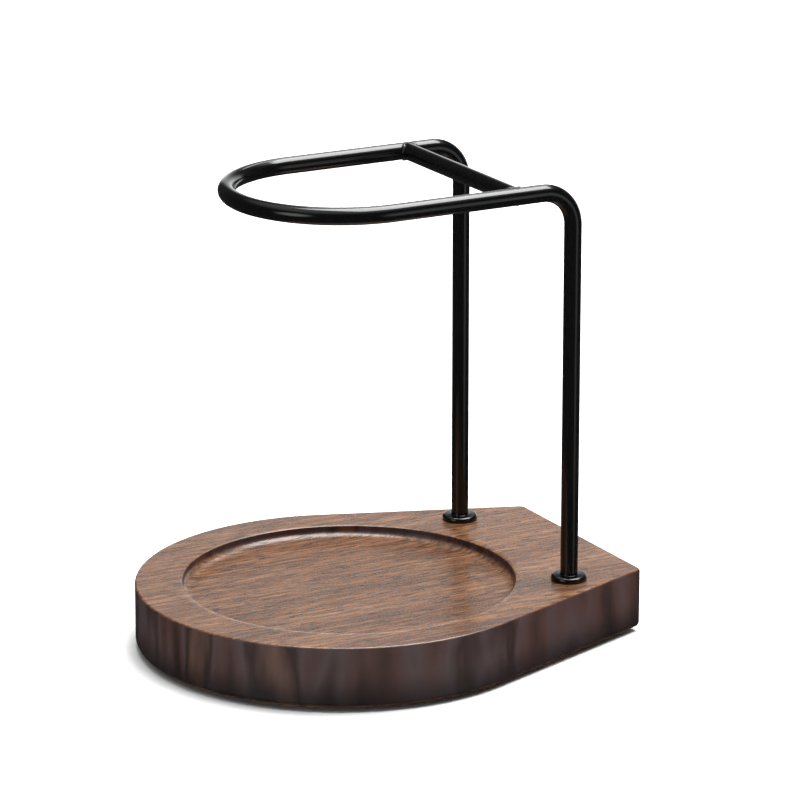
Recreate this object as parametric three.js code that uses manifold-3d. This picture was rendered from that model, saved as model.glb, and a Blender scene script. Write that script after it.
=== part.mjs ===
// Wood and wire stand: a walnut board with a turned dish, and one bent black rod that
// makes two posts, two level arms and a half-round loop over the dish.
//
// Millimetres, +Z up. The origin is on the surface that the stand rests on, midway along
// the board's length and width. The loop and the round nose of the board face -Y.

import * as THREE from 'three';
import { mergeVertices } from 'three/addons/utils/BufferGeometryUtils.js';
import Module from 'manifold-3d';

const wasm = await Module();
wasm.setup();

// ---------------------------------------------------------------- driving dimensions

const GAP = 0.3;                  // clearance kept between pieces that touch
const PAST = 1;                   // how far a cutter runs past the face that it cuts

const NOSE_RADIUS = 75;           // round front of the board, seen from above
const BOARD_LENGTH = 174.5;
const REAR_WIDTH = 85;            // flat rear edge, measured where the sides would meet it
const REAR_CORNER_RADIUS = 2.5;
const CORNER_SHRINK = 0.7;        // share of an edge's rounding that comes off that radius
const BOARD_THICKNESS = 22.3;
const TOP_EDGE_RADIUS = 0.8;
const BOTTOM_EDGE_RADIUS = 2.2;

const DISH_RADIUS = 60.4;         // at the top face
const DISH_BEHIND_NOSE = 2.3;     // dish centre, behind the centre of the nose
const DISH_DEPTH = 4;
const DISH_LIP_RADIUS = 0.7;
const DISH_COVE_RADIUS = 2.2;

const ROD_RADIUS = 3.15;          // 6 mm steel rod with its coating
const ARM_SPACING = 79.8;         // between the centre lines of the arms, and of the posts
const ARM_ABOVE_BOARD = 144;      // arm centre line above the board's top face
const POST_BEHIND_NOSE = 70.5;
const LOOP_AHEAD_OF_NOSE = 0.7;   // loop centre, in front of the centre of the nose
const BEND_RADIUS = 12.5;         // centre line of the bend from post to arm
const CROSSBAR_BEFORE_POSTS = 22.9;

const WELD_LEG = 1.1;             // size of each fillet at the ends of the cross rod
const WELD_HALF_HEIGHT = 2.6;

const COLLAR_RADIUS = 6.5;
const COLLAR_THICKNESS = 1.8;
const COLLAR_CHAMFER = 0.6;
const COLLAR_HUB_RADIUS = 4.5;    // foot of the short cone that rises to the rod
const COLLAR_HUB_HEIGHT = 1.4;

const BOLT_HOLE_RADIUS = 3.5;
const COUNTERBORE_RADIUS = 8;
const COUNTERBORE_DEPTH = 8;
const WASHER_RADIUS = 6;          // M6 flat washer
const WASHER_THICKNESS = 1.6;
const NUT_ACROSS_FLATS = 10;      // M6 hex nut
const NUT_HEIGHT = 5;
const NUT_CHAMFER_SLOPE = Math.tan(Math.PI / 6);

const PAD_RADIUS = 6;
const PAD_STAND_OFF = 1.5;        // the board's underside is this far above the shelf
const PAD_SOCKET_DEPTH = 1;
const PAD_EDGE_RADIUS = 0.5;
const PAD_FRONT = { aside: 44, behindNose: -36 };
const PAD_REAR = { aside: 27, behindNose: 86 };

// Number of straight facets that stand for a full turn of each round shape.
const FACETS = { nose: 96, dish: 72, rod: 16, loop: 64, collar: 24, bore: 24, pad: 24 };

// Number of straight steps along each small arc.
const STEPS = { corner: 4, bottomEdge: 4, topEdge: 3, cove: 4, lip: 2, bend: 6, padEdge: 2 };

// ---------------------------------------------------------------- derived places

const NOSE_Y = NOSE_RADIUS - BOARD_LENGTH / 2;
const REAR_Y = BOARD_LENGTH / 2;
const DISH_Y = NOSE_Y + DISH_BEHIND_NOSE;
const POST_X = ARM_SPACING / 2;
const POST_Y = NOSE_Y + POST_BEHIND_NOSE;
const LOOP_Y = NOSE_Y - LOOP_AHEAD_OF_NOSE;
const CROSSBAR_Y = POST_Y - CROSSBAR_BEFORE_POSTS;

const UNDERSIDE_Z = PAD_STAND_OFF;
const TOP_Z = UNDERSIDE_Z + BOARD_THICKNESS;
const ARM_Z = TOP_Z + ARM_ABOVE_BOARD;
const WASHER_TOP_Z = UNDERSIDE_Z + COUNTERBORE_DEPTH - GAP;
const NUT_TOP_Z = WASHER_TOP_Z - WASHER_THICKNESS - GAP;
const ROD_END_Z = NUT_TOP_Z - NUT_HEIGHT + GAP;

const SIDES = [['left', -1], ['right', 1]];

// ---------------------------------------------------------------- materials

function material(color, roughness, metalness) {
  return new THREE.MeshStandardMaterial({ color, roughness, metalness });
}

const walnut = () => material('#5e4032', 0.5, 0);
const blackCoat = () => material('#121114', 0.35, 0.3);
const zincSteel = () => material('#b4b6b8', 0.35, 1);
const padRubber = () => material('#202020', 0.9, 0);

// ---------------------------------------------------------------- solid helpers

// Turns a closed geometry into a manifold solid; only positions are kept.
function toSolid(geometry) {
  const bare = geometry.clone();
  bare.deleteAttribute('normal');
  bare.deleteAttribute('uv');
  const merged = mergeVertices(bare, 1e-4);
  const vertProperties = new Float32Array(merged.attributes.position.array);
  const triVerts = new Uint32Array(merged.index.array);
  return new wasm.Manifold(new wasm.Mesh({ numProp: 3, vertProperties, triVerts }));
}

function toGeometry(solid) {
  const mesh = solid.getMesh();
  const geometry = new THREE.BufferGeometry();
  geometry.setAttribute('position', new THREE.BufferAttribute(mesh.vertProperties, 3));
  geometry.setIndex(new THREE.BufferAttribute(mesh.triVerts, 1));
  geometry.computeVertexNormals();
  return geometry;
}

function subtractAll(geometry, cutters) {
  let solid = toSolid(geometry);
  for (const cutter of cutters) solid = solid.subtract(toSolid(cutter));
  return toGeometry(solid);
}

// A solid turned about +Z from a profile of [radius, height] points; the profile starts
// and ends on the axis, or closes on itself.
function turned(profile, facets, x = 0, y = 0) {
  const points = profile.map(([radius, height]) => new THREE.Vector2(radius, height));
  return new THREE.LatheGeometry(points, facets).rotateX(Math.PI / 2).translate(x, y, 0);
}

// A plain round cutter or disc standing on Z, from z = low to z = high.
function disc(radius, low, high, facets, x, y) {
  return turned([[0, low], [radius, low], [radius, high], [0, high]], facets, x, y);
}

// Points on an arc about (centreA, centreB), both ends included; angles in degrees.
function arc(centreA, centreB, radius, fromDegrees, toDegrees, steps) {
  const points = [];
  for (let i = 0; i <= steps; i += 1) {
    const angle = THREE.MathUtils.degToRad(fromDegrees + ((toDegrees - fromDegrees) * i) / steps);
    points.push([centreA + radius * Math.cos(angle), centreB + radius * Math.sin(angle)]);
  }
  return points;
}

// A closed body lofted through rings of equal length, listed upwards, each ring anticlockwise
// seen from above; the two ends are closed by fans from their middles.
function loft(rings) {
  const count = rings[0].length;
  const vertices = rings.flat();
  const triangles = [];
  for (let level = 0; level + 1 < rings.length; level += 1) {
    for (let i = 0; i < count; i += 1) {
      const a = level * count + i;
      const b = level * count + ((i + 1) % count);
      triangles.push(a, b, b + count, a, b + count, a + count);
    }
  }
  const addFan = (ring, start, upwards) => {
    const middle = new THREE.Vector3();
    ring.forEach((point) => middle.addScaledVector(point, 1 / count));
    const hub = vertices.push(middle) - 1;
    for (let i = 0; i < count; i += 1) {
      const a = start + i;
      const b = start + ((i + 1) % count);
      triangles.push(hub, upwards ? a : b, upwards ? b : a);
    }
  };
  addFan(rings[0], 0, false);
  addFan(rings[rings.length - 1], (rings.length - 1) * count, true);
  const geometry = new THREE.BufferGeometry().setFromPoints(vertices);
  geometry.setIndex(triangles);
  geometry.computeVertexNormals();
  return geometry;
}

// ---------------------------------------------------------------- board

// The board's outline moved inwards by inset: the nose arc, the two sides that are tangent
// to it, and the flat rear with its rounded corners. Anticlockwise, at height z.
function boardOutline(inset, z) {
  const cornerX = REAR_WIDTH / 2;
  const cornerY = REAR_Y - NOSE_Y;
  const reach = Math.hypot(cornerX, cornerY);
  const towardsCorner = Math.atan2(cornerY, cornerX);
  const tangentAngle = towardsCorner - Math.acos(NOSE_RADIUS / reach);
  const tangentDegrees = THREE.MathUtils.radToDeg(tangentAngle);

  // The rear corner's arc touches the rear line and the side line.
  const arcY = REAR_Y - REAR_CORNER_RADIUS;
  const sideReach = NOSE_RADIUS - REAR_CORNER_RADIUS;
  const arcX = (sideReach - (arcY - NOSE_Y) * Math.sin(tangentAngle)) / Math.cos(tangentAngle);

  // The inset takes a little off the corner's radius and moves its centre inwards for the
  // rest, so that even the deepest inset keeps a small arc there.
  const cornerRadius = REAR_CORNER_RADIUS - inset * CORNER_SHRINK;
  const inwards = inset * (1 - CORNER_SHRINK);
  const sideways = (inwards * (1 - Math.sin(tangentAngle))) / Math.cos(tangentAngle);
  const x = arcX - sideways;
  const y = arcY - inwards;
  const right = arc(x, y, cornerRadius, tangentDegrees, 90, STEPS.corner);
  const left = arc(-x, y, cornerRadius, 90, 180 - tangentDegrees, STEPS.corner);
  const noseFrom = 180 - tangentDegrees;
  const noseTo = 360 + tangentDegrees;
  const noseSteps = Math.round((FACETS.nose * (noseTo - noseFrom)) / 360 / 2) * 2;
  const nose = arc(0, NOSE_Y, NOSE_RADIUS - inset, noseFrom, noseTo, noseSteps);
  return [...right, ...left, ...nose].map(([px, py]) => new THREE.Vector3(px, py, z));
}

function boardBlank() {
  const rings = [];
  for (const [out, up] of arc(0, 0, BOTTOM_EDGE_RADIUS, -90, 0, STEPS.bottomEdge)) {
    const z = UNDERSIDE_Z + BOTTOM_EDGE_RADIUS + up;
    rings.push(boardOutline(BOTTOM_EDGE_RADIUS - out, z));
  }
  for (const [out, up] of arc(0, 0, TOP_EDGE_RADIUS, 0, 90, STEPS.topEdge)) {
    rings.push(boardOutline(TOP_EDGE_RADIUS - out, TOP_Z - TOP_EDGE_RADIUS + up));
  }
  return loft(rings);
}

// What the turning tool takes away: a rounded lip, a short wall, a cove and a flat floor.
function dishCutter() {
  const floor = TOP_Z - DISH_DEPTH;
  const wall = DISH_RADIUS - DISH_LIP_RADIUS;
  const coveCentre = [wall - DISH_COVE_RADIUS, floor + DISH_COVE_RADIUS];
  const lipCentre = [DISH_RADIUS, TOP_Z - DISH_LIP_RADIUS];
  return turned(
    [
      [0, floor],
      ...arc(...coveCentre, DISH_COVE_RADIUS, -90, 0, STEPS.cove),
      ...arc(...lipCentre, DISH_LIP_RADIUS, 180, 90, STEPS.lip),
      [DISH_RADIUS, TOP_Z + PAST],
      [0, TOP_Z + PAST],
    ],
    FACETS.dish,
    0,
    DISH_Y,
  );
}

function baseBoard() {
  const cutters = [dishCutter()];
  const under = UNDERSIDE_Z - PAST;
  for (const [, side] of SIDES) {
    const x = side * POST_X;
    const counterboreTop = UNDERSIDE_Z + COUNTERBORE_DEPTH;
    cutters.push(disc(BOLT_HOLE_RADIUS, under, TOP_Z + PAST, FACETS.bore, x, POST_Y));
    cutters.push(disc(COUNTERBORE_RADIUS, under, counterboreTop, FACETS.bore, x, POST_Y));
  }
  for (const { x, y } of padPlaces()) {
    const socketTop = UNDERSIDE_Z + PAD_SOCKET_DEPTH;
    cutters.push(disc(PAD_RADIUS + GAP, under, socketTop, FACETS.pad, x, y));
  }
  return subtractAll(boardBlank(), cutters);
}

// ---------------------------------------------------------------- bent rod

// A path through chosen stations, each with a point and a direction, so that a sweep has
// close stations in the bends and none along the straights.
class StationPath extends THREE.Curve {
  constructor(stations) {
    super();
    this.stations = stations;
  }

  stationAt(u) {
    return this.stations[Math.round(u * (this.stations.length - 1))];
  }

  getPointAt(u, target = new THREE.Vector3()) {
    return target.copy(this.stationAt(u).point);
  }

  getTangentAt(u, target = new THREE.Vector3()) {
    return target.copy(this.stationAt(u).direction);
  }
}

function station(x, y, z, dx, dy, dz) {
  return { point: new THREE.Vector3(x, y, z), direction: new THREE.Vector3(dx, dy, dz) };
}

// Up the left post, forward along its arm, round the loop and back down the right post.
function rodStations() {
  const bendSteps = STEPS.bend;
  const loopSteps = FACETS.loop / 2;
  const bendY = POST_Y - BEND_RADIUS;
  const bendZ = ARM_Z - BEND_RADIUS;
  const stations = [station(-POST_X, POST_Y, ROD_END_Z, 0, 0, 1)];
  for (let i = 0; i <= bendSteps; i += 1) {
    const angle = ((Math.PI / 2) * i) / bendSteps;
    const [c, s] = [Math.cos(angle), Math.sin(angle)];
    stations.push(station(-POST_X, bendY + BEND_RADIUS * c, bendZ + BEND_RADIUS * s, 0, -s, c));
  }
  for (let i = 0; i <= loopSteps; i += 1) {
    const angle = (Math.PI * i) / loopSteps;
    const [c, s] = [Math.cos(angle), Math.sin(angle)];
    stations.push(station(-POST_X * c, LOOP_Y - POST_X * s, ARM_Z, s, -c, 0));
  }
  for (let i = bendSteps; i >= 0; i -= 1) {
    const angle = ((Math.PI / 2) * i) / bendSteps;
    const [c, s] = [Math.cos(angle), Math.sin(angle)];
    stations.push(station(POST_X, bendY + BEND_RADIUS * c, bendZ + BEND_RADIUS * s, 0, s, -c));
  }
  stations.push(station(POST_X, POST_Y, ROD_END_Z, 0, 0, -1));
  return stations;
}

function wireFrame() {
  const stations = rodStations();
  const section = new THREE.Shape().absarc(0, 0, ROD_RADIUS, 0, 2 * Math.PI);
  return new THREE.ExtrudeGeometry(section, {
    steps: stations.length - 1,
    curveSegments: FACETS.rod / 2,
    bevelEnabled: false,
    extrudePath: new StationPath(stations),
  });
}

// ---------------------------------------------------------------- cross rod and welds

// A straight round bar along Y through an arm, used to cope what meets that arm.
function armCutter(side, radius) {
  const length = 4 * (ROD_RADIUS + WELD_LEG);
  return new THREE.CylinderGeometry(radius, radius, length, FACETS.rod * 2)
    .translate(side * POST_X, CROSSBAR_Y, ARM_Z);
}

function crossbar() {
  const bar = new THREE.CylinderGeometry(ROD_RADIUS, ROD_RADIUS, 2 * POST_X, FACETS.rod)
    .rotateZ(Math.PI / 2)
    .translate(0, CROSSBAR_Y, ARM_Z);
  return subtractAll(bar, SIDES.map(([, side]) => armCutter(side, ROD_RADIUS + GAP)));
}

// Weld metal in the corner between an arm and the cross rod, on the rod's front or rear
// side: a fillet ring round the rod, coped to the arm and kept below the top of the rods.
function weldBead(side, fore) {
  const inner = ROD_RADIUS + GAP;
  const outer = inner + WELD_LEG;
  const tip = ROD_RADIUS + WELD_LEG;
  const ring = turned(
    [
      [inner, ROD_RADIUS / 2],
      [outer, ROD_RADIUS / 2],
      [outer, ROD_RADIUS],
      [inner, tip],
      [inner, ROD_RADIUS / 2],
    ],
    FACETS.rod * 2,
  )
    .rotateY((-side * Math.PI) / 2)
    .translate(side * POST_X, CROSSBAR_Y, ARM_Z);
  const corner = new THREE.BoxGeometry(2 * tip, outer, 2 * WELD_HALF_HEIGHT)
    .translate(side * POST_X, CROSSBAR_Y + (fore * outer) / 2, ARM_Z);
  const armSpace = armCutter(side, ROD_RADIUS + GAP);
  return toGeometry(toSolid(ring).intersect(toSolid(corner)).subtract(toSolid(armSpace)));
}

// ---------------------------------------------------------------- collars and fasteners

function collar(side) {
  const bore = ROD_RADIUS + GAP;
  const low = TOP_Z + GAP;
  const high = TOP_Z + COLLAR_THICKNESS;
  const hubTop = high + COLLAR_HUB_HEIGHT;
  return turned(
    [
      [bore, low],
      [COLLAR_RADIUS, low],
      [COLLAR_RADIUS, high - COLLAR_CHAMFER],
      [COLLAR_RADIUS - COLLAR_CHAMFER, high],
      [COLLAR_HUB_RADIUS, high],
      [ROD_RADIUS + 2 * GAP, hubTop],
      [bore, hubTop],
      [bore, low],
    ],
    FACETS.collar,
    side * POST_X,
    POST_Y,
  );
}

function washer(side) {
  const low = WASHER_TOP_Z - WASHER_THICKNESS;
  return turned(
    [
      [BOLT_HOLE_RADIUS, low],
      [WASHER_RADIUS, low],
      [WASHER_RADIUS, WASHER_TOP_Z],
      [BOLT_HOLE_RADIUS, WASHER_TOP_Z],
      [BOLT_HOLE_RADIUS, low],
    ],
    FACETS.bore,
    side * POST_X,
    POST_Y,
  );
}

// A hexagon with its lower corners turned off, and a plain hole for the threaded rod end.
function nut(side) {
  const cornerRadius = NUT_ACROSS_FLATS / 2 / Math.cos(Math.PI / 6);
  const low = NUT_TOP_Z - NUT_HEIGHT;
  const hexagon = disc(cornerRadius, low, NUT_TOP_Z, 6, 0, 0);
  const beyondCorner = cornerRadius + PAST;
  const turnedCorners = turned(
    [
      [0, low],
      [NUT_ACROSS_FLATS / 2, low],
      [beyondCorner, low + (beyondCorner - NUT_ACROSS_FLATS / 2) * NUT_CHAMFER_SLOPE],
      [beyondCorner, NUT_TOP_Z + PAST],
      [0, NUT_TOP_Z + PAST],
    ],
    FACETS.bore,
  );
  const hole = disc(ROD_RADIUS + GAP, low - PAST, NUT_TOP_Z + PAST, FACETS.bore, 0, 0);
  const solid = toSolid(hexagon).intersect(toSolid(turnedCorners)).subtract(toSolid(hole));
  return toGeometry(solid).translate(side * POST_X, POST_Y, 0);
}

// ---------------------------------------------------------------- foot pads

function padPlaces() {
  const places = [];
  for (const [row, place] of [['front', PAD_FRONT], ['rear', PAD_REAR]]) {
    for (const [name, side] of SIDES) {
      places.push({
        name: `foot_pad_${row}_${name}`,
        x: side * place.aside,
        y: NOSE_Y + place.behindNose,
      });
    }
  }
  return places;
}

function footPad({ x, y }) {
  const top = UNDERSIDE_Z + PAD_SOCKET_DEPTH - GAP;
  return turned(
    [
      [0, 0],
      ...arc(PAD_RADIUS - PAD_EDGE_RADIUS, PAD_EDGE_RADIUS, PAD_EDGE_RADIUS, -90, 0, STEPS.padEdge),
      [PAD_RADIUS, top],
      [0, top],
    ],
    FACETS.pad,
    x,
    y,
  );
}

// ---------------------------------------------------------------- assembly

const stand = new THREE.Group();
stand.name = 'wood_and_wire_stand';

function add(name, geometry, meshMaterial) {
  const mesh = new THREE.Mesh(geometry, meshMaterial);
  mesh.name = name;
  stand.add(mesh);
}

add('base_board', baseBoard(), walnut());
add('wire_frame', wireFrame(), blackCoat());
add('crossbar', crossbar(), blackCoat());
for (const [name, side] of SIDES) {
  add(`weld_front_${name}`, weldBead(side, -1), blackCoat());
  add(`weld_rear_${name}`, weldBead(side, 1), blackCoat());
  add(`collar_${name}`, collar(side), blackCoat());
  add(`washer_${name}`, washer(side), zincSteel());
  add(`nut_${name}`, nut(side), zincSteel());
}
for (const place of padPlaces()) add(place.name, footPad(place), padRubber());

export default stand;
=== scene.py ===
# %% [markdown]
# # A walnut and black wire stand
#
# The stand is a teardrop board of walnut with a shallow round dish turned into its top, and
# one black steel rod bent into two posts, two level arms and a half-round loop over the
# dish. This file takes the engineering model as a fixed frame and builds the surfaces that
# the eye sees around it, piece by piece, the way a person models them in edit mode.

import math

import bmesh
import bpy
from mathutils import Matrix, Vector


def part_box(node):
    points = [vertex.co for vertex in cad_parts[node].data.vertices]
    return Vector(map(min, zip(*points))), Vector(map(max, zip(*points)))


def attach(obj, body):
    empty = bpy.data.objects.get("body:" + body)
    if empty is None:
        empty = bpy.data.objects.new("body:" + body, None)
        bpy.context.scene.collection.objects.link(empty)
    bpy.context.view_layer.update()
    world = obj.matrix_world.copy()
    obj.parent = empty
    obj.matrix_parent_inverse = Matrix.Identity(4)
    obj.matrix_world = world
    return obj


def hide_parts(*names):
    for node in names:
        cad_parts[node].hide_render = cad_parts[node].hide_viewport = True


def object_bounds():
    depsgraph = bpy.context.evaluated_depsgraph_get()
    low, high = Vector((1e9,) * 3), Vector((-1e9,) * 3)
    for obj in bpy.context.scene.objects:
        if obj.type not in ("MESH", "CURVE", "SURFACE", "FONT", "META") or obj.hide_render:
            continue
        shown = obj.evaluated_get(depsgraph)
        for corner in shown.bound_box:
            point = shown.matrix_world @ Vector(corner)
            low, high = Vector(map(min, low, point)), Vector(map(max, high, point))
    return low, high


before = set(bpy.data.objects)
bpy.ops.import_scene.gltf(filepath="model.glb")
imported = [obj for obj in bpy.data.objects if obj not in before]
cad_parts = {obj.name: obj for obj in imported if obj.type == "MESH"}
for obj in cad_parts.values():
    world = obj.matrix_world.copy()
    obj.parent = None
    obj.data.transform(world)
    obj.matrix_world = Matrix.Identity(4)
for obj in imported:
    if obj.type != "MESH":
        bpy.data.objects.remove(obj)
cad_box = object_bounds()
MM = 0.001
print("nodes:", sorted(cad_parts))

# %% [markdown]
# ## Measures
#
# A few places are read off the frame's boxes: the board's faces, the centre of its round
# nose, the post centres, the arms' height and the rod's radius. The rest are the shop sizes
# of the piece itself, in millimetres turned to metres, such as the width of the rear edge
# and how deep the dish is turned.

# %% Places read from the frame
board_low, board_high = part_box("base_board")
wire_low, wire_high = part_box("wire_frame")
bar_low, bar_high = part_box("crossbar")

UNDERSIDE_Z, TOP_Z = board_low.z, board_high.z
REAR_Y = board_high.y
NOSE_RADIUS = board_high.x
NOSE_Y = board_low.y + NOSE_RADIUS

ROD_RADIUS = (bar_high.z - bar_low.z) / 2
ARM_Z = (bar_high.z + bar_low.z) / 2
BAR_Y = (bar_high.y + bar_low.y) / 2
POST_X = wire_high.x - ROD_RADIUS
POST_Y = wire_high.y - ROD_RADIUS
ROD_END_Z = wire_low.z
LOOP_Y = wire_low.y + ROD_RADIUS + POST_X

REAR_WIDTH = 85 * MM
REAR_CORNER_RADIUS = 2.5 * MM
TOP_EDGE_RADIUS = 0.8 * MM
BOTTOM_EDGE_RADIUS = 2.2 * MM
DISH_RADIUS = 60.4 * MM
DISH_Y = NOSE_Y + 2.3 * MM
DISH_DEPTH = 4 * MM
DISH_LIP_DEPTH = 0.45 * MM
DISH_LIP_REACH = 2.6 * MM
DISH_COVE_HEIGHT = 2.3 * MM
DISH_COVE_REACH = 4.2 * MM
BEND_RADIUS = 12.5 * MM

# How far every cutter runs past the face that it cuts through.
THROUGH = 2 * MM

print(f"board {1000 * NOSE_RADIUS * 2:.1f} wide, rod {2000 * ROD_RADIUS:.2f} thick")
print(f"posts at x +-{1000 * POST_X:.1f}, y {1000 * POST_Y:.1f}; arms at z {1000 * ARM_Z:.1f}")

# %% [markdown]
# ## The camera
#
# A long lens from about a metre and a half looks down on the stand from its front right
# corner. It is placed first, because every piece is then judged through it.

# %% Camera
CAMERA_AZIMUTH = math.radians(61.33)
CAMERA_ELEVATION = math.radians(16.5)
CAMERA_DISTANCE = 1.5765
CAMERA_LENS_MM = 198
CAMERA_NEAR_LIMIT = 0.05
AIM_BESIDE_CENTRE = Vector((-1.3, 11.6, 1.3)) * MM


def towards_camera(azimuth, elevation):
    """The unit direction from the stand to a viewer; azimuth 0 is in front, on -Y."""
    level = math.cos(elevation)
    return Vector((math.sin(azimuth) * level, -math.cos(azimuth) * level, math.sin(elevation)))


middle = (Vector(cad_box[0]) + Vector(cad_box[1])) / 2
aim = middle + AIM_BESIDE_CENTRE
away = towards_camera(CAMERA_AZIMUTH, CAMERA_ELEVATION)
bpy.ops.object.camera_add(location=aim + away * CAMERA_DISTANCE)
camera = bpy.context.active_object
camera.name = "camera"
camera.rotation_euler = away.to_track_quat("Z", "Y").to_euler()
camera.data.lens = CAMERA_LENS_MM
camera.data.clip_start = CAMERA_NEAR_LIMIT
bpy.context.scene.camera = camera
print("camera at", [round(c, 3) for c in camera.location])

# %% [markdown]
# ## Working in edit mode from a script
#
# Operators act on what is selected. These helpers do what a hand does: start clean, open a
# mesh, pick vertices, edges or faces by where they are, and close the mesh again. Each
# finished piece ends with its place in its mesh and its object at the origin.

# %% Edit helpers


def start_clean():
    """Nothing selected, so that the next operator touches only the new piece."""
    if bpy.context.mode != "OBJECT":
        bpy.ops.object.mode_set(mode="OBJECT")
    bpy.ops.object.select_all(action="DESELECT")


def named(name):
    """The primitive that was just added, given its name, with its place in its mesh."""
    piece = bpy.context.active_object
    piece.name = name
    piece.data.name = name
    bpy.ops.object.transform_apply(location=True, rotation=True, scale=True)
    return piece


def open_mesh(piece, kind="VERT"):
    start_clean()
    piece.select_set(True)
    bpy.context.view_layer.objects.active = piece
    bpy.ops.object.mode_set(mode="EDIT")
    bpy.ops.mesh.select_mode(type=kind)
    bpy.ops.mesh.select_all(action="DESELECT")


def close_mesh():
    bpy.ops.object.mode_set(mode="OBJECT")


def pick(kind, test):
    """Selects the verts, edges or faces of the open mesh that pass the test, and no others."""
    data = bpy.context.edit_object.data
    mesh = bmesh.from_edit_mesh(data)
    bpy.ops.mesh.select_all(action="DESELECT")
    chosen = [item for item in getattr(mesh, kind) if test(item)]
    for item in chosen:
        item.select_set(True)
    mesh.select_flush_mode()
    bmesh.update_edit_mesh(data)
    return len(chosen)


def is_near(value, target, slack=0.02 * MM):
    return abs(value - target) < slack


def at_height(z):
    """A test for edges that lie level at height z."""
    return lambda edge: all(is_near(v.co.z, z) for v in edge.verts)


def on_rim(x, y, z, radius):
    """A test for edges on a level circle."""

    def test(edge):
        reach = [math.hypot(v.co.x - x, v.co.y - y) for v in edge.verts]
        return at_height(z)(edge) and all(is_near(r, radius) for r in reach)

    return test


def finish_mesh(piece, smooth_angle=35):
    """Merges doubles, turns the faces outwards and smooths all but the real corners."""
    open_mesh(piece)
    bpy.ops.mesh.select_all(action="SELECT")
    bpy.ops.mesh.remove_doubles(threshold=0.002 * MM)
    bpy.ops.mesh.normals_make_consistent(inside=False)
    close_mesh()
    bpy.ops.object.shade_smooth_by_angle(angle=math.radians(smooth_angle))
    print(f"{piece.name}: {len(piece.data.polygons)} faces")


def apply_modifier(piece, kind, **settings):
    start_clean()
    piece.select_set(True)
    bpy.context.view_layer.objects.active = piece
    modifier = piece.modifiers.new(kind.title(), kind)
    for name, value in settings.items():
        setattr(modifier, name, value)
    bpy.ops.object.modifier_apply(modifier=modifier.name)


def cut(piece, tool, operation="DIFFERENCE"):
    """Cuts piece with tool, as a drill or a router does, and throws the tool away."""
    apply_modifier(piece, "BOOLEAN", operation=operation, object=tool, solver="EXACT")
    bpy.data.objects.remove(tool)


def cylinder(name, x, y, low, high, radius, facets=96):
    """An upright round bar between two heights."""
    start_clean()
    bpy.ops.mesh.primitive_cylinder_add(
        vertices=facets,
        radius=radius,
        depth=high - low,
        location=(x, y, (low + high) / 2),
    )
    return named(name)


def extrude(dx=0, dy=0, dz=0):
    bpy.ops.mesh.extrude_region_move(TRANSFORM_OT_translate={"value": (dx, dy, dz)})


# %% [markdown]
# ## The board
#
# The real board is sawn to a teardrop from one thick plank, edge-rounded with a router, and
# the dish is turned or milled into its top. It could be made by a boolean of a disc and a
# wedge, but the joint between arc and straight side would show. Here the outline starts as a
# full circle, loses its back at the two points where the sides are tangent to it, and that
# cut edge is pulled back and squeezed to the rear width, so the sides leave the arc smoothly.

# %% Board outline
corner_reach = math.hypot(REAR_WIDTH / 2, REAR_Y - NOSE_Y)
corner_angle = math.atan2(REAR_Y - NOSE_Y, REAR_WIDTH / 2)
tangent_angle = corner_angle - math.acos(NOSE_RADIUS / corner_reach)
tangent_x = NOSE_RADIUS * math.cos(tangent_angle)
tangent_y = NOSE_Y + NOSE_RADIUS * math.sin(tangent_angle)

start_clean()
bpy.ops.mesh.primitive_circle_add(
    vertices=360, radius=NOSE_RADIUS, fill_type="NGON", location=(0, NOSE_Y, UNDERSIDE_Z)
)
board = named("walnut_board")
open_mesh(board)
bpy.ops.mesh.select_all(action="SELECT")
bpy.ops.mesh.bisect(
    plane_co=(0, tangent_y, UNDERSIDE_Z), plane_no=(0, 1, 0), clear_outer=True
)
bpy.ops.mesh.select_mode(type="EDGE")
pick("edges", lambda e: all(is_near(v.co.y, tangent_y) for v in e.verts))
extrude(dy=REAR_Y - tangent_y)
bpy.ops.transform.resize(
    value=(REAR_WIDTH / 2 / tangent_x, 1, 1), center_override=(0, REAR_Y, UNDERSIDE_Z)
)
pick("edges", lambda e: all(is_near(v.co.y, tangent_y) for v in e.verts))
bpy.ops.mesh.dissolve_edges(use_verts=False)

# The rear corners are eased with a vertex bevel; its offset is the arc's tangent length.
turn = math.pi / 2 - tangent_angle
bpy.ops.mesh.select_mode(type="VERT")
pick("verts", lambda v: is_near(v.co.y, REAR_Y))
bpy.ops.mesh.bevel(
    offset=REAR_CORNER_RADIUS * math.tan(turn / 2),
    offset_type="OFFSET",
    segments=8,
    affect="VERTICES",
)
close_mesh()
print("outline tangent at", round(math.degrees(tangent_angle), 1), "degrees")

# %% [markdown]
# The flat outline is pulled up to the board's thickness. The top edge gets a light rounding,
# as sandpaper gives, and the bottom edge a fuller one, which lifts the board visually off
# the table.

# %% Board thickness and edges
open_mesh(board, "FACE")
bpy.ops.mesh.select_all(action="SELECT")
extrude(dz=TOP_Z - UNDERSIDE_Z)
bpy.ops.mesh.select_all(action="SELECT")
bpy.ops.mesh.normals_make_consistent(inside=False)
bpy.ops.mesh.select_mode(type="EDGE")
pick("edges", at_height(TOP_Z))
bpy.ops.mesh.bevel(offset=TOP_EDGE_RADIUS, offset_type="OFFSET", segments=5, affect="EDGES")
pick("edges", at_height(UNDERSIDE_Z))
bpy.ops.mesh.bevel(
    offset=BOTTOM_EDGE_RADIUS, offset_type="OFFSET", segments=8, affect="EDGES"
)
close_mesh()
print("board box", [tuple(round(c * 1000, 2) for c in board.dimensions)])

# %% [markdown]
# ## Turning
#
# The dish cutter, the collars, the washers and the pads are all round. Each is drawn as a
# lathe tool would follow it: a ring of vertices is extruded from point to point of the
# profile and scaled to the next radius. The spin operator could do it in one go, but would
# leave a seam and a pole to be merged.


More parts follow.
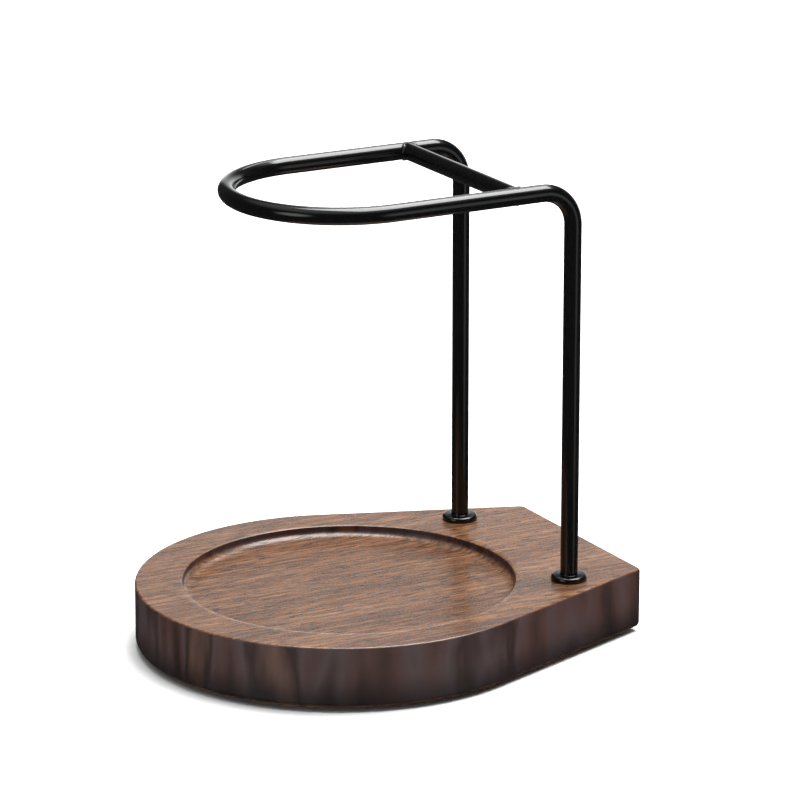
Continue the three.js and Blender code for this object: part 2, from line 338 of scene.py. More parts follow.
# %% Turning helpers
def extrude_ring(centre, dz, scale):
    """Extrudes the selected level ring by dz and scales the new ring about its own centre."""
    extrude(dz=dz)
    centre.z += dz
    bpy.ops.transform.resize(value=(scale, scale, 1), center_override=centre)


def turned(name, x, y, profile, facets=96):
    """A round piece about an upright axis, from (radius, height) points; a first or last
    radius of zero closes that end, and a profile that ends where it began is a ring."""
    points = [p for p in profile if p[0] > 0]
    start_clean()
    bpy.ops.mesh.primitive_circle_add(
        vertices=facets, radius=points[0][0], location=(x, y, points[0][1])
    )
    piece = named(name)
    open_mesh(piece, "EDGE")
    bpy.ops.mesh.select_all(action="SELECT")
    centre = Vector((x, y, points[0][1]))
    if profile[0][0] == 0:
        bpy.ops.mesh.edge_face_add()
    for (radius, height), (next_radius, next_height) in zip(points, points[1:]):
        extrude_ring(centre, next_height - height, next_radius / radius)
    if profile[-1][0] == 0:
        bpy.ops.mesh.edge_face_add()
    close_mesh()
    return piece


def arc(centre_radius, centre_height, reach, rise, from_degrees, to_degrees, steps):
    """Profile points on a quarter of an ellipse, both ends included."""
    points = []
    for i in range(steps + 1):
        angle = math.radians(from_degrees + (to_degrees - from_degrees) * i / steps)
        points.append(
            (centre_radius + reach * math.cos(angle), centre_height + rise * math.sin(angle))
        )
    return points


# %% [markdown]
# The dish is cut with one shaped cutter: flat below, round at its corner for the cove, and
# flared at the top for the eased lip. The lip is wide and shallow, as sanding leaves it, and
# shows as a thin pale line where it turns away from the eye.

# %% Dish
dish_wall = DISH_RADIUS - DISH_LIP_DEPTH
dish_floor = TOP_Z - DISH_DEPTH
lip_outside = dish_wall + DISH_LIP_REACH
cove = DISH_COVE_HEIGHT
profile = [
    (0, dish_floor),
    *arc(dish_wall - DISH_COVE_REACH, dish_floor + cove, DISH_COVE_REACH, cove, -90, 0, 14),
    *arc(lip_outside, TOP_Z - DISH_LIP_DEPTH, DISH_LIP_REACH, DISH_LIP_DEPTH, 180, 90, 8),
    (lip_outside, TOP_Z + THROUGH),
    (0, TOP_Z + THROUGH),
]
router_bit = turned("router_bit", 0, DISH_Y, profile, 320)
finish_mesh(router_bit)
cut(board, router_bit)
print(f"dish {2000 * dish_wall:.1f} across, cove {1000 * cove:.1f} high")

# %% [markdown]
# Underneath, each post's rod end and nut sit in a counterbore, and each pad in a shallow
# socket. They are drilled, so they are plain cylinders, with a slight break on each mouth.

# %% Drilled holes underneath
BOLT_HOLE_RADIUS = 3.5 * MM
COUNTERBORE_RADIUS = 8 * MM
COUNTERBORE_DEPTH = 8 * MM
SOCKET_CLEARANCE = 0.25 * MM
SOCKET_DEPTH = 1 * MM
MOUTH_BREAK = 0.35 * MM
SIDES = (("left", -1), ("right", 1))
PADS = [f"foot_pad_{row}_{side}" for row in ("front", "rear") for side, _ in SIDES]


def centre_of(node):
    low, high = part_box(node)
    return (low + high) / 2


def radius_of(node):
    low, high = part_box(node)
    return (high.x - low.x) / 2


under = UNDERSIDE_Z - THROUGH
counterbore_top = UNDERSIDE_Z + COUNTERBORE_DEPTH
socket_top = UNDERSIDE_Z + SOCKET_DEPTH
mouths = []
for _, sign in SIDES:
    x = sign * POST_X
    hole = cylinder("drill", x, POST_Y, under, TOP_Z + THROUGH, BOLT_HOLE_RADIUS, 48)
    cut(board, hole)
    seat = cylinder("drill", x, POST_Y, under, counterbore_top, COUNTERBORE_RADIUS)
    cut(board, seat)
    mouths.append((x, POST_Y, COUNTERBORE_RADIUS))
for pad in PADS:
    place = centre_of(pad)
    socket_radius = radius_of(pad) + SOCKET_CLEARANCE
    socket = cylinder("drill", place.x, place.y, under, socket_top, socket_radius)
    cut(board, socket)
    mouths.append((place.x, place.y, socket_radius))

open_mesh(board, "EDGE")
for x, y, radius in mouths:
    pick("edges", on_rim(x, y, UNDERSIDE_Z, radius))
    bpy.ops.mesh.bevel(offset=MOUTH_BREAK, offset_type="OFFSET", segments=2, affect="EDGES")
close_mesh()
finish_mesh(board, 30)
apply_modifier(board, "WEIGHTED_NORMAL", mode="FACE_AREA", weight=100, keep_sharp=True)
print("holes drilled:", len(mouths) + len(SIDES))

# %% [markdown]
# ## The bent rod
#
# One length of round steel bar is threaded at both ends and bent cold: up, forward, round
# the loop, back and down. The model is made in the same order. A circle of vertices is
# extruded along each straight and spun through each bend, so the section stays truly round
# and there is no joint anywhere in it.
#
# The thread at each end is only seen from below, inside its counterbore. It is drawn as a
# stack of sharp rings one pitch apart, which looks the same there as a helix does.

# %% Bent rod
ROD_FACETS = 64
THREAD_PITCH = 1 * MM
THREAD_TURNS = 7
THREAD_ROOT_SHARE = 0.86
END_CHAMFER = 0.5 * MM


def spin(angle, centre, axis, steps):
    """Spins the selected ring; the operator itself turns left-handed about its axis."""
    bpy.ops.mesh.spin(steps=steps, angle=-angle, center=centre, axis=axis)


start_clean()
bpy.ops.mesh.primitive_circle_add(
    vertices=ROD_FACETS,
    radius=ROD_RADIUS - END_CHAMFER,
    location=(-POST_X, POST_Y, ROD_END_Z),
)
rod = named("bent_rod")
open_mesh(rod, "EDGE")
bpy.ops.mesh.select_all(action="SELECT")
place = Vector((-POST_X, POST_Y, ROD_END_Z))
extrude_ring(place, END_CHAMFER, ROD_RADIUS / (ROD_RADIUS - END_CHAMFER))
for _ in range(THREAD_TURNS):
    extrude_ring(place, THREAD_PITCH / 2, THREAD_ROOT_SHARE)
    extrude_ring(place, THREAD_PITCH / 2, 1 / THREAD_ROOT_SHARE)
extrude(dz=ARM_Z - BEND_RADIUS - place.z)
spin(math.pi / 2, (-POST_X, POST_Y - BEND_RADIUS, ARM_Z - BEND_RADIUS), (1, 0, 0), 24)
extrude(dy=LOOP_Y - (POST_Y - BEND_RADIUS))
spin(math.pi / 2, (0, LOOP_Y, ARM_Z), (0, 0, 1), 72)
close_mesh()
print("half of the rod spans", [round(c * 1000, 1) for c in rod.dimensions])

# %% [markdown]
# The right half is the mirror image of the left, joined to it at the front of the loop, and
# the two rod ends are closed with flat faces.

# %% Mirrored half and rod ends
apply_modifier(rod, "MIRROR", use_axis=(True, False, False), merge_threshold=0.01 * MM)
open_mesh(rod, "EDGE")
for _, sign in SIDES:
    pick("edges", lambda e, s=sign: at_height(ROD_END_Z)(e) and e.verts[0].co.x * s > 0)
    bpy.ops.mesh.edge_face_add()
close_mesh()
finish_mesh(rod, 40)
print("rod box", [round(c * 1000, 2) for c in rod.dimensions])

# %% [markdown]
# ## The cross rod and its welds
#
# A short bar of the same stock closes the fork. Its ends are coped with a hole saw to fit
# round the arms, and a thin weld runs round each joint and was coated with the rest. The
# weld starts as a torus round the bar; each of its vertices is then slid along the bar on to
# the saddle that the two rods make, with a small ripple from the welder's hand.

# %% Cross rod
WELD_RADIUS = 1.15 * MM
WELD_SUNK_SHARE = 0.3
WELD_RIPPLES = 9
WELD_RIPPLE_DEPTH = 0.08 * MM

start_clean()
bpy.ops.mesh.primitive_cylinder_add(
    vertices=ROD_FACETS,
    radius=ROD_RADIUS,
    depth=2 * POST_X,
    location=(0, BAR_Y, ARM_Z),
    rotation=(0, math.pi / 2, 0),
)
crossbar = named("cross_rod")
for _, sign in SIDES:
    start_clean()
    bpy.ops.mesh.primitive_cylinder_add(
        vertices=ROD_FACETS * 2,
        radius=ROD_RADIUS,
        depth=8 * ROD_RADIUS,
        location=(sign * POST_X, BAR_Y, ARM_Z),
        rotation=(math.pi / 2, 0, 0),
    )
    cut(crossbar, named("hole_saw"))
finish_mesh(crossbar, 40)


# %% Welds
def weld(name, sign):
    """A thin bead round the joint of the cross rod and the arm on that side."""
    start_clean()
    bpy.ops.mesh.primitive_torus_add(
        major_segments=96,
        minor_segments=16,
        major_radius=ROD_RADIUS - WELD_SUNK_SHARE * WELD_RADIUS,
        minor_radius=WELD_RADIUS,
        location=(sign * POST_X, BAR_Y, ARM_Z),
        rotation=(0, math.pi / 2, 0),
    )
    bead = named(name)
    for vertex in bead.data.vertices:
        up = vertex.co.z - ARM_Z
        side = vertex.co.y - BAR_Y
        turn_angle = math.atan2(up, side)
        saddle = ROD_RADIUS * abs(math.cos(turn_angle))
        ripple = WELD_RIPPLE_DEPTH * math.sin(WELD_RIPPLES * turn_angle)
        vertex.co.x -= sign * (saddle + ripple)
        vertex.co.z = max(ARM_Z - ROD_RADIUS, min(vertex.co.z, ARM_Z + ROD_RADIUS))
    finish_mesh(bead, 60)
    return bead


welds = {side: weld(f"weld_{side}", sign) for side, sign in SIDES}

# %% [markdown]
# ## Collars, washers and nuts
#
# Each post passes through a turned collar on top of the board and is held below it by a flat
# washer and a hexagon nut. They are all small lathe pieces except the nut.

# %% Collars
COLLAR_THICKNESS = 2.0 * MM
COLLAR_EDGE = 0.9 * MM
COLLAR_NECK = 0.2 * MM
COLLAR_FOOT_BREAK = 0.25 * MM
COLLAR_CLEARANCE = 0.04 * MM


def collar(side, sign):
    """A turned foot for the post: a thick round-edged ring with a small fillet at its neck."""
    radius = radius_of(f"collar_{side}")
    bore = ROD_RADIUS + COLLAR_CLEARANCE
    top = TOP_Z + COLLAR_THICKNESS
    profile = [
        (bore, TOP_Z),
        (radius - COLLAR_FOOT_BREAK, TOP_Z),
        (radius, TOP_Z + COLLAR_FOOT_BREAK),
        *arc(radius - COLLAR_EDGE, top - COLLAR_EDGE, COLLAR_EDGE, COLLAR_EDGE, 0, 90, 7),
        *arc(bore + COLLAR_NECK, top + COLLAR_NECK, COLLAR_NECK, COLLAR_NECK, 270, 180, 6),
        (bore, TOP_Z),
    ]
    piece = turned(f"collar_ring_{side}", sign * POST_X, POST_Y, profile)
    finish_mesh(piece, 50)
    return piece


collars = {side: collar(side, sign) for side, sign in SIDES}

# %% Washers and nuts
WASHER_CLEARANCE = 0.2 * MM
WASHER_EDGE = 0.15 * MM
NUT_EDGE = 0.25 * MM
NUT_CONE_SLOPE = math.tan(math.radians(30))
NUT_CONE_MARGIN = 1 * MM
NUT_CLEARANCE = 0.1 * MM


def washer(side, sign):
    """A flat ring with its outer corners broken."""
    low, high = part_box(f"washer_{side}")
    radius = radius_of(f"washer_{side}")
    bore = ROD_RADIUS + WASHER_CLEARANCE
    profile = [
        (bore, low.z),
        (radius - WASHER_EDGE, low.z),
        (radius, low.z + WASHER_EDGE),
        (radius, high.z - WASHER_EDGE),
        (radius - WASHER_EDGE, high.z),
        (bore, high.z),
        (bore, low.z),
    ]
    piece = turned(f"flat_washer_{side}", sign * POST_X, POST_Y, profile)
    finish_mesh(piece, 30)
    return piece


def nut(side, sign):
    """A hexagon bar, turned to a cone at its lower corners and bored for the thread."""
    low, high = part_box(f"nut_{side}")
    flats = radius_of(f"nut_{side}")
    corner = flats / math.cos(math.pi / 6)
    x = sign * POST_X
    piece = cylinder(f"hex_nut_{side}", x, POST_Y, low.z, high.z, corner, 6)
    wide = corner + NUT_CONE_MARGIN
    profile = [
        (0, low.z),
        (flats - NUT_EDGE, low.z),
        (wide, low.z + (wide - flats + NUT_EDGE) * NUT_CONE_SLOPE),
        (wide, high.z + THROUGH),
        (0, high.z + THROUGH),
    ]
    cone = turned("cone", x, POST_Y, profile)
    finish_mesh(cone)
    cut(piece, cone, "INTERSECT")
    bore_radius = ROD_RADIUS + NUT_CLEARANCE
    bore = cylinder("tap", x, POST_Y, low.z - THROUGH, high.z + THROUGH, bore_radius, 48)
    cut(piece, bore)
    finish_mesh(piece, 20)
    return piece


washers = {side: washer(side, sign) for side, sign in SIDES}
nuts = {side: nut(side, sign) for side, sign in SIDES}

# %% [markdown]
# The pads are moulded rubber discs with a rounded foot and one shallow ring groove, which
# lets a damp counter drain instead of sucking on to a flat disc.

# %% Foot pads
PAD_EDGE = 0.5 * MM
PAD_GROOVE_RADIUS = 3.4 * MM
PAD_GROOVE_HALF_WIDTH = 0.5 * MM
PAD_GROOVE_DEPTH = 0.4 * MM


def foot_pad(node):
    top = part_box(node)[1].z
    radius = radius_of(node)
    place = centre_of(node)
    profile = [
        (0, 0),
        (PAD_GROOVE_RADIUS - PAD_GROOVE_HALF_WIDTH, 0),
        (PAD_GROOVE_RADIUS, PAD_GROOVE_DEPTH),
        (PAD_GROOVE_RADIUS + PAD_GROOVE_HALF_WIDTH, 0),
        *arc(radius - PAD_EDGE, PAD_EDGE, PAD_EDGE, PAD_EDGE, -90, 0, 5),
        (radius, top),
        (0, top),
    ]
    piece = turned(node.replace("foot_pad", "rubber_pad"), place.x, place.y, profile, 64)
    finish_mesh(piece, 40)
    return piece


pads = {node: foot_pad(node) for node in PADS}

# %% [markdown]
# ## Materials
#
# One function turns an sRGB hex colour into the linear values that shaders use, and one
# adds a node with its settings and links. Short helpers on top of it make the noises, ranges
# and mixes that the materials share. Object coordinates are in metres, so each pattern first
# scales them by 1000 over the size of its mark in millimetres.


# %% Material helpers
def colour(hex_code):
    """Linear RGBA from an sRGB hex code such as 7c573a."""
    channels = [int(hex_code[i : i + 2], 16) / 255 for i in (0, 2, 4)]
    linear = [c / 12.92 if c <= 0.04045 else ((c + 0.055) / 1.055) ** 2.4 for c in channels]
    return (*linear, 1)


def per_mm(*sizes):
    """The scale that makes a pattern's mark this many millimetres long on each axis."""
    return [1000 / size for size in sizes]


def add(tree, kind, inputs=None, stops=None, **settings):
    """A new shader node. An input is a value, a socket, or a node whose result it takes;
    stops are the places and colours of a colour ramp."""
    made = tree.nodes.new("ShaderNode" + kind)
    for name, value in settings.items():
        setattr(made, name, value)
    for socket, value in (inputs or {}).items():
        if isinstance(value, bpy.types.Node):
            value = next(output for output in value.outputs if output.enabled)
        if isinstance(value, bpy.types.NodeSocket):
            tree.links.new(value, made.inputs[socket])
        else:
            made.inputs[socket].default_value = value
    if stops:
        ramp = made.color_ramp.elements
        while len(ramp) < len(stops):
            ramp.new(0.5)
        for element, (position, hex_code) in zip(ramp, stops):
            element.position = position
            element.color = colour(hex_code)
    return made


def noise(tree, point, mark_mm, detail, roughness=0.5):
    """Solid noise whose marks have these lengths in millimetres along the three axes."""
    place = add(tree, "Mapping", {"Vector": point, "Scale": per_mm(*mark_mm)})
    inputs = {"Vector": place, "Scale": 1, "Detail": detail, "Roughness": roughness}
    return add(tree, "TexNoise", inputs)


def ring_noise(tree, place, width_mm, detail, roughness):
    """Noise that changes along one value only, given in millimetres."""
    inputs = {"W": place, "Scale": 1 / width_mm, "Detail": detail, "Roughness": roughness}
    return add(tree, "TexNoise", inputs, noise_dimensions="1D")


def remap(tree, value, start, end, low=0, high=1, **settings):
    """Goes from low to high as the value goes from start to end, and stays level beyond."""
    inputs = {"Value": value, 1: start, 2: end, 3: low, 4: high}
    return add(tree, "MapRange", inputs, **settings)


def blend(tree, share, base, tint):
    """Two colours mixed. A Mix node's sockets 0, 6 and 7 are its share and its colours."""
    if isinstance(tint, str):
        tint = colour(tint)
    return add(tree, "Mix", {0: share, 6: base, 7: tint}, data_type="RGBA")


def maths(tree, operation, first, second):
    return add(tree, "Math", {0: first, 1: second}, operation=operation)


def new_material(name):
    """An empty node material and its tree."""
    material = bpy.data.materials.new(name)
    material.use_nodes = True
    material.node_tree.nodes.clear()
    return material, material.node_tree


# %% [markdown]
# ### Oiled black walnut
#
# Walnut heartwood runs from fawn to chocolate with a violet grey cast. Four things make the
# top read as walnut: slow colour bands where the saw crossed the growth rings, fine straight
# fibres along the plank, longer streaks both pale and dark, and short dark pores. They are
# solid patterns in object space, so they run across the top and down through the dish as in
# a real plank.
#
# The plank is nearly quarter-sawn: the heart of the tree lay far to the board's left, so the
# rings stand almost upright and show as straight lines on top. Round the edge most of the
# colour comes from a broad slanted mottle, and only a part from the rings. The edge and the
# dish wall are painted darker than the top, as painted shade, and greyer, as a painted haze of
# reflection, and the edge's painted shade deepens towards its foot. The finish is satin on
# top, where it mirrors bright things at low angles, and duller on the edge.

# %% Walnut
RING_HEART_MM = (-200, 0, -14)
RING_WIDTH_MM = 17
RING_LINE_MM = 1.9
RING_WANDER_MM = 6
WANDER_MM = (60, 240, 40)
FIBRE_MM = (0.75, 15, 0.75)
PORE_MM = (0.7, 6.5, 0.7)
GLOW_MM = (9, 30, 9)
STREAK_MM = (1.5, 22, 1.5)

# Where each noise starts to show and is at its full strength, and what that strength is.
RING_LINE_RANGE = (0.50, 0.74)
RING_LINE_STRENGTH = 0.45
FIBRE_RANGE = (0.40, 0.66)
FIBRE_STRENGTH = 0.8
PORE_RANGE = (0.52, 0.66)
PORE_STRENGTH = 0.9
GLOW_RANGE = (0.42, 0.7)
GLOW_STRENGTH = 0.6
PALE_STREAK_RANGE = (0.5, 0.68)
PALE_STREAK_STRENGTH = 0.6
DARK_STREAK_RANGE = (0.5, 0.34)
DARK_STREAK_STRENGTH = 0.75

TOP_BANDS = [(0.32, "5f3f2b"), (0.45, "744d37"), (0.56, "7f573e"), (0.68, "8d6449")]
GLOW_COLOUR = "84532b"
PALE_STREAK_COLOUR = "9c7450"
DARK_STREAK_COLOUR = "4c311f"
FIBRE_COLOUR = "4e3321"
RING_LINE_COLOUR = "2a1a13"
PORE_COLOUR = "2a1a11"

# Wood tones of the edge's mottle, set darker and greyer than the top's: painted shade and painted
# reflection haze.
EDGE_BANDS = [
    (0.36, "281612"),
    (0.44, "482b24"),
    (0.50, "493738"),
    (0.56, "321d18"),
    (0.64, "5a3c2f"),
]
EDGE_PATCH_MM = (14, 24, 90)
EDGE_SLANT_DEGREES = 62
EDGE_OFFSET = (3.4, 1.7, 0)
EDGE_RING_SHARE = 0.3
# Painted shade: the edge darkens towards its foot over this height, to this colour.
EDGE_FOOT = 13 * MM
EDGE_FOOT_SHADE_COLOUR = "100a0a"
EDGE_FOOT_SHADE_STRENGTH = 0.75
EDGE_GRAIN_SHARE = 0.15
EDGE_ROUGHNESS = 0.5
TOP_ROUGHNESS = (0.22, 0.34)
GRAIN_DEPTH = 0.05 * MM

# How level a face is where the edge's colour and its roughness start, and where they are full.
EDGE_COLOUR_LEVELS = (0.9, 0.4)
EDGE_ROUGHNESS_LEVELS = (0.6, 0.2)


def walnut():
    material, tree = new_material("oiled_black_walnut")
    coordinates = add(tree, "TexCoord")
    point = coordinates.outputs["Object"]

    # Distance from the heart in millimetres, bent by slow noise so that the bands wander.
    wander = noise(tree, point, WANDER_MM, 1.5)
    shift = maths(tree, "MULTIPLY", wander, 2 * RING_WANDER_MM)
    from_heart = add(
        tree,
        "Mapping",
        {"Vector": point, "Location": [-c for c in RING_HEART_MM], "Scale": (1000, 0, 1000)},
    )
    distance = add(tree, "VectorMath", {0: from_heart}, operation="LENGTH")
    ring_place = maths(tree, "ADD", distance.outputs["Value"], shift)

    # Broad bands from the rings, and the thin line where each year's growth stopped.
    bands = ring_noise(tree, ring_place, RING_WIDTH_MM, 1.5, 0.4)
    lines = ring_noise(tree, ring_place, RING_LINE_MM, 2, 0.6)
    line_share = remap(tree, lines, *RING_LINE_RANGE, 0, RING_LINE_STRENGTH)

    # Fine fibres, and short dark pores, along the plank. Real pores are 0.2 mm wide; these
    # are drawn three to four times as wide, so that they show.
    fibre = noise(tree, point, FIBRE_MM, 3, 0.65)
    fibre_share = remap(tree, fibre, *FIBRE_RANGE, 0, FIBRE_STRENGTH)
    pore = noise(tree, point, PORE_MM, 1)
    pore_share = remap(tree, pore, *PORE_RANGE, 0, PORE_STRENGTH)

    # A slow warm glow, and long thin streaks, pale where the noise is high and dark where it
    # is low, as fibres that lean towards the light and away from it.
    glow = noise(tree, point, GLOW_MM, 2)
    glow_share = remap(tree, glow, *GLOW_RANGE, 0, GLOW_STRENGTH)
    streak = noise(tree, point, STREAK_MM, 2)
    pale_share = remap(tree, streak, *PALE_STREAK_RANGE, 0, PALE_STREAK_STRENGTH)
    dark_share = remap(tree, streak, *DARK_STREAK_RANGE, 0, DARK_STREAK_STRENGTH)

    top = add(tree, "ValToRGB", {"Fac": bands}, stops=TOP_BANDS)
    warm = blend(tree, glow_share, top, GLOW_COLOUR)
    pale = blend(tree, pale_share, warm, PALE_STREAK_COLOUR)
    streaked = blend(tree, dark_share, pale, DARK_STREAK_COLOUR)
    fibred = blend(tree, fibre_share, streaked, FIBRE_COLOUR)
    lined = blend(tree, line_share, fibred, RING_LINE_COLOUR)
    pored = blend(tree, pore_share, lined, PORE_COLOUR)

    # The edge's mottle, with painted shade that darkens it towards the foot.
    patch_point = add(
        tree,
        "Mapping",
        {
            "Vector": point,
            "Location": EDGE_OFFSET,
            "Rotation": (math.radians(EDGE_SLANT_DEGREES), 0, 0),
            "Scale": per_mm(*EDGE_PATCH_MM),
        },
    )
    patch = add(
        tree, "TexNoise", {"Vector": patch_point, "Scale": 1, "Detail": 3, "Roughness": 0.45}
    )
    mottle = add(tree, "Mix", {0: EDGE_RING_SHARE, 2: patch, 3: bands})
    edge = add(tree, "ValToRGB", {"Fac": mottle}, stops=EDGE_BANDS)
    height = add(tree, "SeparateXYZ", {0: point}).outputs["Z"]
    foot_top = UNDERSIDE_Z + EDGE_FOOT
    foot_shade_share = remap(
        tree,
        height,
        foot_top,
        UNDERSIDE_Z,
        0,
        EDGE_FOOT_SHADE_STRENGTH,
        interpolation_type="SMOOTHSTEP",
    )
    edge_with_painted_foot_shade = blend(tree, foot_shade_share, edge, EDGE_FOOT_SHADE_COLOUR)

    # Level faces take the top's colour and upright ones the edge's, whose darker, greyer colour
    # is painted shade and a painted haze of reflection.
    face = add(tree, "SeparateXYZ", {0: coordinates.outputs["Normal"]})
    levelness = add(tree, "Math", {0: face.outputs["Z"]}, operation="ABSOLUTE")
    upright = remap(tree, levelness, *EDGE_COLOUR_LEVELS)
    final = blend(tree, upright, pored, edge_with_painted_foot_shade)

    # Fibres and pores are sunk on faces cut along the grain, and closed on the edge.
    sunk = maths(tree, "ADD", fibre_share, pore_share)
    open_grain = remap(tree, upright, 0, 1, 1, EDGE_GRAIN_SHARE)
    depth = maths(tree, "MULTIPLY", sunk, open_grain)
    bump = add(
        tree,
        "Bump",
        {"Height": depth, "Strength": 0.5, "Distance": GRAIN_DEPTH},
        invert=True,
    )
    top_roughness = remap(tree, sunk, 0, 1.4, *TOP_ROUGHNESS)
    steep = remap(tree, levelness, *EDGE_ROUGHNESS_LEVELS)
    roughness = add(tree, "Mix", {0: steep, 2: top_roughness, 3: EDGE_ROUGHNESS})
    shader = add(
        tree,
        "BsdfPrincipled",
        {"Base Color": final, "Roughness": roughness, "IOR": 1.5, "Normal": bump},
    )
    add(tree, "OutputMaterial", {"Surface": shader})
    return material


# %% [markdown]
# ### Black coated steel
#
# The wire is coated in black baked enamel, flowed out smooth, so it has a glossy skin with
# only a trace of orange peel. To the eye it is almost black, and its shape is told by the
# sharp white streak that runs along the top of each rod.

# %% Black coat
ORANGE_PEEL_MM = [1.6] * 3


def black_coat():
    material, tree = new_material("black_baked_enamel")
    point = add(tree, "TexCoord").outputs["Object"]
    peel = noise(tree, point, ORANGE_PEEL_MM, 1)
    bump = add(tree, "Bump", {"Height": peel, "Strength": 0.04, "Distance": 0.02 * MM})
    roughness = remap(tree, peel, 0.3, 0.7, 0.12, 0.17)
    tint = add(tree, "ValToRGB", {"Fac": peel}, stops=[(0.3, "060607"), (0.7, "09090a")])
    shader = add(
        tree,
        "BsdfPrincipled",
        {"Base Color": tint, "Roughness": roughness, "IOR": 1.5, "Normal": bump},
    )
    add(tree, "OutputMaterial", {"Surface": shader})
    return material


# %% [markdown]
# ### Zinc-plated steel and rubber
#
# The hidden fasteners are bright zinc plate with a faint cloudy tarnish. The pads are matt
# black moulded rubber.

# %% Zinc and rubber
ZINC_CLOUD_MM = [2.5] * 3
RUBBER_GRAIN_MM = [0.5] * 3


def zinc():
    material, tree = new_material("bright_zinc_plate")
    point = add(tree, "TexCoord").outputs["Object"]
    cloud = noise(tree, point, ZINC_CLOUD_MM, 3)
    tint = add(tree, "ValToRGB", {"Fac": cloud}, stops=[(0.3, "c3c6ca"), (0.7, "a6a49a")])
    roughness = remap(tree, cloud, 0.3, 0.7, 0.22, 0.4)
    shader = add(
        tree, "BsdfPrincipled", {"Base Color": tint, "Metallic": 1.0, "Roughness": roughness}
    )
    add(tree, "OutputMaterial", {"Surface": shader})
    return material


def rubber():
    material, tree = new_material("moulded_black_rubber")
    point = add(tree, "TexCoord").outputs["Object"]
    grain = noise(tree, point, RUBBER_GRAIN_MM, 2)
    bump = add(tree, "Bump", {"Height": grain, "Strength": 0.3, "Distance": 0.03 * MM})
    tint = add(tree, "ValToRGB", {"Fac": grain}, stops=[(0.3, "1c1c1c"), (0.7, "2b2a29")])
    shader = add(
        tree,
        "BsdfPrincipled",
        {"Base Color": tint, "Roughness": 0.75, "IOR": 1.52, "Normal": bump},
    )
    add(tree, "OutputMaterial", {"Surface": shader})
    return material


# %% [markdown]
# ## Joining the pieces to the frame
#
# Each piece gets its material and rides on the stand's one rigid body, and the engineering
# nodes that it stands for are hidden.


# %% Dress the pieces
def dress(piece, material, slot, *nodes):
    piece.data.materials.clear()
    piece.data.materials.append(material)
    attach(piece, "root")
    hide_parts(*nodes)


walnut_finish, black_finish, zinc_finish, rubber_finish = walnut(), black_coat(), zinc(), rubber()
dress(board, walnut_finish, "walnut", "base_board")
dress(rod, black_finish, "black_coat", "wire_frame")
dress(crossbar, black_finish, "black_coat", "crossbar")
for side, _ in SIDES:
    dress(welds[side], black_finish, "black_coat", f"weld_front_{side}", f"weld_rear_{side}")
    dress(collars[side], black_finish, "black_coat", f"collar_{side}")
    dress(washers[side], zinc_finish, "zinc_steel", f"washer_{side}")
    dress(nuts[side], zinc_finish, "zinc_steel", f"nut_{side}")
for node in PADS:
    dress(pads[node], rubber_finish, "pad_rubber", node)
print("pieces dressed:", 3 + 4 * len(SIDES) + len(PADS))

# %% [markdown]
# ## Studio
#
# A pale floor, one large softbox high overhead and a little behind, a smaller and dimmer
# strip at the left rear, and a dark room with a white wall behind the stand, a pale ceiling
# and two small panes. The softbox draws the white streak along the arms and the bright line
# in the dish's far cove. The wall gives the board its pale sheen at a low viewing angle.
#
# Black enamel shows the room as a mirror does, so the floor is kept out of the reflections,
# as black cards do in a studio. The posts then stay black.

# %% Floor
FLOOR_SIZE = 16

start_clean()
bpy.ops.mesh.primitive_plane_add(size=FLOOR_SIZE, location=(0, 0, 0))
floor = named("floor")
floor_material, floor_tree = new_material("white_paper_floor")
floor_shader = add(floor_tree, "BsdfDiffuse", {"Color": colour("fbfbfb")})
add(floor_tree, "OutputMaterial", {"Surface": floor_shader})
floor.data.materials.append(floor_material)
floor.visible_glossy = False

# %% Softbox and strip
LIGHT_DISTANCE = 3.0
SOFTBOX_DIRECTION = Vector((-0.06, 0.28, 0.95)).normalized()
SOFTBOX_SIZE = (2.6, 2.2)
SOFTBOX_BRIGHTNESS = 11.8
STRIP_DIRECTION = Vector((-0.62, 0.46, 0.63)).normalized()
STRIP_SIZE = (1.1, 0.8)
STRIP_BRIGHTNESS = 3.0


def area_light(name, direction, size, brightness):
    """A rectangular light that faces the stand's middle and is not seen by the camera."""
    start_clean()
    bpy.ops.object.light_add(type="AREA", location=middle + direction * LIGHT_DISTANCE)
    light = bpy.context.active_object
    light.name = name
    light.data.shape = "RECTANGLE"
    light.data.size, light.data.size_y = size
    light.data.energy = math.pi * size[0] * size[1] * brightness
    light.rotation_euler = direction.to_track_quat("Z", "Y").to_euler()
    light.visible_camera = False
    print(name, "power", round(light.data.energy), "W")


area_light("overhead_softbox", SOFTBOX_DIRECTION, SOFTBOX_SIZE, SOFTBOX_BRIGHTNESS)
area_light("side_strip", STRIP_DIRECTION, STRIP_SIZE, STRIP_BRIGHTNESS)

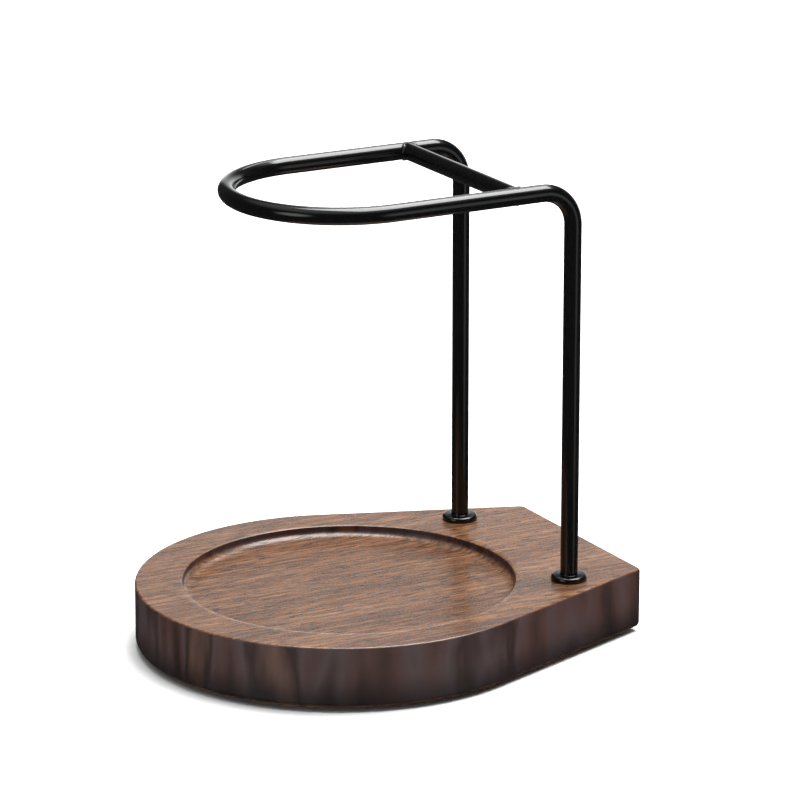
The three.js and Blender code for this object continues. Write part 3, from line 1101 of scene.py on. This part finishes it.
# %% [markdown]
# The room is a world shader. Its white wall is a soft patch of sky, low behind the stand: it
# is bright where the direction is within about thirty degrees of the wall, and neither far
# below the horizon nor high above it. Two small panes stand left and right of the camera,
# and give the rods their faint second streak. The pale ceiling lightens the shadows. Each
# edge below is a cosine, or a height in the unit direction, where the light starts and ends.

# %% Room
WALL_DIRECTION = Vector((-0.71, 0.70, 0)).normalized()
WALL_BRIGHTNESS = 1.8
ROOM_BRIGHTNESS = 0.05
CEILING_BRIGHTNESS = 0.8
WINDOWS = [(Vector((0.30, -0.95, 0.15)), 2.4), (Vector((0.88, 0.47, -0.08)), 0.8)]
WALL_SIDE_EDGE = (0.85, 0.91)
WALL_FOOT_EDGE = (-0.24, -0.16)
WALL_TOP_EDGE = (0.38, 0.08)
CEILING_EDGE = (0.6, 0.85)
WINDOW_EDGE = (0.94, 0.99)

world = bpy.data.worlds.new("studio")
bpy.context.scene.world = world
world.use_nodes = True
room = world.node_tree
direction = add(room, "TexCoord").outputs["Generated"]
across = add(room, "VectorMath", {0: direction, 1: WALL_DIRECTION}, operation="DOT_PRODUCT")
height = add(room, "SeparateXYZ", {0: direction}).outputs["Z"]
beside = remap(room, across.outputs["Value"], *WALL_SIDE_EDGE)
below = remap(room, height, *WALL_FOOT_EDGE)
above = remap(room, height, *WALL_TOP_EDGE)
between = maths(room, "MULTIPLY", below, above)
wall = maths(room, "MULTIPLY", beside, between)
walls = remap(room, wall, 0, 1, ROOM_BRIGHTNESS, WALL_BRIGHTNESS)
ceiling = remap(room, height, *CEILING_EDGE, 0, CEILING_BRIGHTNESS)
total = maths(room, "ADD", walls, ceiling)
for window, glow in WINDOWS:
    facing = add(
        room, "VectorMath", {0: direction, 1: window.normalized()}, operation="DOT_PRODUCT"
    )
    pane = remap(room, facing.outputs["Value"], *WINDOW_EDGE, 0, glow)
    total = maths(room, "ADD", total, pane)
backdrop = room.nodes["Background"]
backdrop.inputs["Color"].default_value = colour("f4f5f6")
room.links.new(total.outputs[0], backdrop.inputs["Strength"])
bpy.context.scene.view_settings.view_transform = "Standard"

# %% Size note and finish
print("CAD box   ", [[round(c * 1000, 2) for c in corner] for corner in cad_box])
